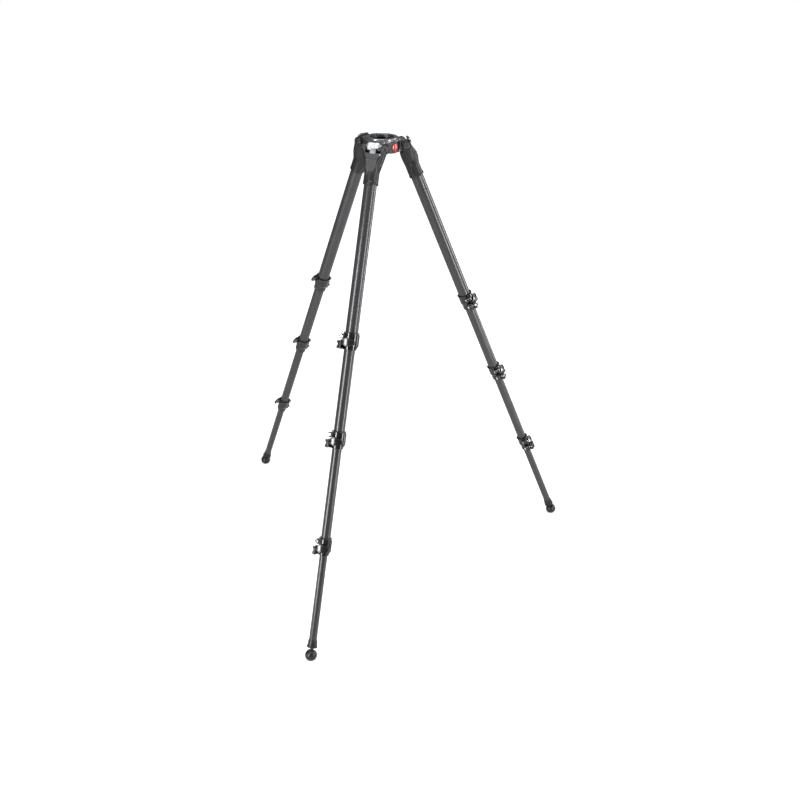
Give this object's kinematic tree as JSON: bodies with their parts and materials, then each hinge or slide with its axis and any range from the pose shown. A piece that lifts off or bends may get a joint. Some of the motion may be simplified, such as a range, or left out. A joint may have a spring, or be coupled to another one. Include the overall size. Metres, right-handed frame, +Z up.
{
  "type": "video tripod",
  "caption": "Video tripod legs with an open bowl crown, carbon tube legs in four sections with flip locks, angle catches and rubber ball feet.",
  "frame": {"origin": "centre of the bowl's rim, at the top of the adapter", "axes": "+Z up along the bowl's axis, -Y towards the front leg"},
  "size_m": [1.2616, 1.0976, 1.5036],
  "materials": {
    "bare_casting": "satin silver paint on a fine sand-cast grain",
    "turned_ring": "satin turned metal with faint rings",
    "black_casting": "satin black powder coat",
    "gloss_black": "gloss moulded plastic",
    "panel_black": "satin moulded plastic with a fine grain",
    "red_disc": "gloss red lens, bare",
    "carbon": "satin woven carbon fibre under clear lacquer",
    "silver_catch": "satin die-cast silver",
    "bolt_steel": "grey bead-blasted steel",
    "screw_steel": "bright plated steel",
    "black_nylon": "matte nylon",
    "dark_ring": "satin black anodised",
    "rubber": "moulded rubber, slightly glossy"
  },
  "bodies": {
    "crown": {"crown_casting": "bare_casting", "side_panels": "panel_black", "side_badge": "red_disc", "bowl_adapter": "turned_ring", "adapter_screws": "screw_steel", "pivot_bolts": "bolt_steel", "pivot_nuts": "bolt_steel", "pivot_bushes": "black_nylon"},
    "leg_front": {"shoulder_casting_front": "black_casting", "upper_tube_front": "carbon", "upper_collar_front": "gloss_black", "upper_lock_pins_front": "screw_steel"},
    "catch_front": {"angle_catch_front": "silver_catch"},
    "second_section_front": {"second_tube_front": "carbon", "second_collar_front": "gloss_black", "second_lock_pins_front": "screw_steel"},
    "third_section_front": {"third_tube_front": "carbon", "third_collar_front": "gloss_black", "third_lock_pins_front": "screw_steel"},
    "foot_section_front": {"foot_tube_front": "carbon", "end_ring_front": "dark_ring"},
    "upper_lever_front": {"upper_lever_front": "gloss_black"},
    "second_lever_front": {"second_lever_front": "gloss_black"},
    "third_lever_front": {"third_lever_front": "gloss_black"},
    "foot_ball_front": {"foot_ball_front": "rubber"},
    "leg_right": {"shoulder_casting_right": "black_casting", "upper_tube_right": "carbon", "upper_collar_right": "gloss_black", "upper_lock_pins_right": "screw_steel"},
    "catch_right": {"angle_catch_right": "silver_catch"},
    "second_section_right": {"second_tube_right": "carbon", "second_collar_right": "gloss_black", "second_lock_pins_right": "screw_steel"},
    "third_section_right": {"third_tube_right": "carbon", "third_collar_right": "gloss_black", "third_lock_pins_right": "screw_steel"},
    "foot_section_right": {"foot_tube_right": "carbon", "end_ring_right": "dark_ring"},
    "upper_lever_right": {"upper_lever_right": "gloss_black"},
    "second_lever_right": {"second_lever_right": "gloss_black"},
    "third_lever_right": {"third_lever_right": "gloss_black"},
    "foot_ball_right": {"foot_ball_right": "rubber"},
    "leg_left": {"shoulder_casting_left": "black_casting", "upper_tube_left": "carbon", "upper_collar_left": "gloss_black", "upper_lock_pins_left": "screw_steel"},
    "catch_left": {"angle_catch_left": "silver_catch"},
    "second_section_left": {"second_tube_left": "carbon", "second_collar_left": "gloss_black", "second_lock_pins_left": "screw_steel"},
    "third_section_left": {"third_tube_left": "carbon", "third_collar_left": "gloss_black", "third_lock_pins_left": "screw_steel"},
    "foot_section_left": {"foot_tube_left": "carbon", "end_ring_left": "dark_ring"},
    "upper_lever_left": {"upper_lever_left": "gloss_black"},
    "second_lever_left": {"second_lever_left": "gloss_black"},
    "third_lever_left": {"third_lever_left": "gloss_black"},
    "foot_ball_left": {"foot_ball_left": "rubber"}
  },
  "joints": [
    {"name": "leg_spread_front", "type": "hinge", "parent": "crown", "child": "leg_front", "pos_m": [0, -0.071, -0.023], "axis": [-1, 0, 0], "range_deg": [-23.5, 41.5]},
    {"name": "angle_catch_front", "type": "slide", "parent": "leg_front", "child": "catch_front", "axis": [0, -0.3987, -0.9171], "range_m": [0, 0.006], "stiffness_N_per_m": 400, "springref_m": -0.002},
    {"name": "second_slide_front", "type": "slide", "parent": "leg_front", "child": "second_section_front", "axis": [0, -0.3987, -0.9171], "range_m": [-0.2525, 0.15]},
    {"name": "third_slide_front", "type": "slide", "parent": "second_section_front", "child": "third_section_front", "axis": [0, -0.3987, -0.9171], "range_m": [-0.2815, 0.14]},
    {"name": "foot_slide_front", "type": "slide", "parent": "third_section_front", "child": "foot_section_front", "axis": [0, -0.3987, -0.9171], "range_m": [-0.2715, 0.15]},
    {"name": "upper_lever_front", "type": "hinge", "parent": "leg_front", "child": "upper_lever_front", "pos_m": [-0.031, -0.32833, -0.57519], "axis": [0, -0.3987, -0.9171], "range_deg": [0, 100]},
    {"name": "second_lever_front", "type": "hinge", "parent": "second_section_front", "child": "second_lever_front", "pos_m": [-0.0285, -0.45174, -0.85902], "axis": [0, -0.3987, -0.9171], "range_deg": [0, 100]},
    {"name": "third_lever_front", "type": "hinge", "parent": "third_section_front", "child": "third_lever_front", "pos_m": [-0.026, -0.58672, -1.16944], "axis": [0, -0.3987, -0.9171], "range_deg": [0, 100]},
    {"name": "foot_ball_front", "type": "slide", "parent": "foot_section_front", "child": "foot_ball_front", "axis": [0, 0.3987, 0.9171], "range_m": [0, 0.01]},
    {"name": "leg_spread_right", "type": "hinge", "parent": "crown", "child": "leg_right", "pos_m": [0.06149, 0.0355, -0.023], "axis": [0.5, -0.866, 0], "range_deg": [-23.5, 41.5]},
    {"name": "angle_catch_right", "type": "slide", "parent": "leg_right", "child": "catch_right", "axis": [0.3453, 0.1994, -0.9171], "range_m": [0, 0.006], "stiffness_N_per_m": 400, "springref_m": -0.002},
    {"name": "second_slide_right", "type": "slide", "parent": "leg_right", "child": "second_section_right", "axis": [0.3453, 0.1994, -0.9171], "range_m": [-0.2525, 0.15]},
    {"name": "third_slide_right", "type": "slide", "parent": "second_section_right", "child": "third_section_right", "axis": [0.3453, 0.1994, -0.9171], "range_m": [-0.2815, 0.14]},
    {"name": "foot_slide_right", "type": "slide", "parent": "third_section_right", "child": "foot_section_right", "axis": [0.3453, 0.1994, -0.9171], "range_m": [-0.2715, 0.15]},
    {"name": "upper_lever_right", "type": "hinge", "parent": "leg_right", "child": "upper_lever_right", "pos_m": [0.29984, 0.13732, -0.57519], "axis": [0.3453, 0.1994, -0.9171], "range_deg": [0, 100]},
    {"name": "second_lever_right", "type": "hinge", "parent": "second_section_right", "child": "second_lever_right", "pos_m": [0.40547, 0.20119, -0.85902], "axis": [0.3453, 0.1994, -0.9171], "range_deg": [0, 100]},
    {"name": "third_lever_right", "type": "hinge", "parent": "third_section_right", "child": "third_lever_right", "pos_m": [0.52111, 0.27084, -1.16944], "axis": [0.3453, 0.1994, -0.9171], "range_deg": [0, 100]},
    {"name": "foot_ball_right", "type": "slide", "parent": "foot_section_right", "child": "foot_ball_right", "axis": [-0.3453, -0.1994, 0.9171], "range_m": [0, 0.01]},
    {"name": "leg_spread_left", "type": "hinge", "parent": "crown", "child": "leg_left", "pos_m": [-0.06149, 0.0355, -0.023], "axis": [0.5, 0.866, 0], "range_deg": [-23.5, 41.5]},
    {"name": "angle_catch_left", "type": "slide", "parent": "leg_left", "child": "catch_left", "axis": [-0.3453, 0.1994, -0.9171], "range_m": [0, 0.006], "stiffness_N_per_m": 400, "springref_m": -0.002},
    {"name": "second_slide_left", "type": "slide", "parent": "leg_left", "child": "second_section_left", "axis": [-0.3453, 0.1994, -0.9171], "range_m": [-0.2525, 0.15]},
    {"name": "third_slide_left", "type": "slide", "parent": "second_section_left", "child": "third_section_left", "axis": [-0.3453, 0.1994, -0.9171], "range_m": [-0.2815, 0.14]},
    {"name": "foot_slide_left", "type": "slide", "parent": "third_section_left", "child": "foot_section_left", "axis": [-0.3453, 0.1994, -0.9171], "range_m": [-0.2715, 0.15]},
    {"name": "upper_lever_left", "type": "hinge", "parent": "leg_left", "child": "upper_lever_left", "pos_m": [-0.26884, 0.19101, -0.57519], "axis": [-0.3453, 0.1994, -0.9171], "range_deg": [0, 100]},
    {"name": "second_lever_left", "type": "hinge", "parent": "second_section_left", "child": "second_lever_left", "pos_m": [-0.37697, 0.25055, -0.85902], "axis": [-0.3453, 0.1994, -0.9171], "range_deg": [0, 100]},
    {"name": "third_lever_left", "type": "hinge", "parent": "third_section_left", "child": "third_lever_left", "pos_m": [-0.49511, 0.31588, -1.16944], "axis": [-0.3453, 0.1994, -0.9171], "range_deg": [0, 100]},
    {"name": "foot_ball_left", "type": "slide", "parent": "foot_section_left", "child": "foot_ball_left", "axis": [0.3453, -0.1994, 0.9171], "range_m": [0, 0.01]}
  ]
}
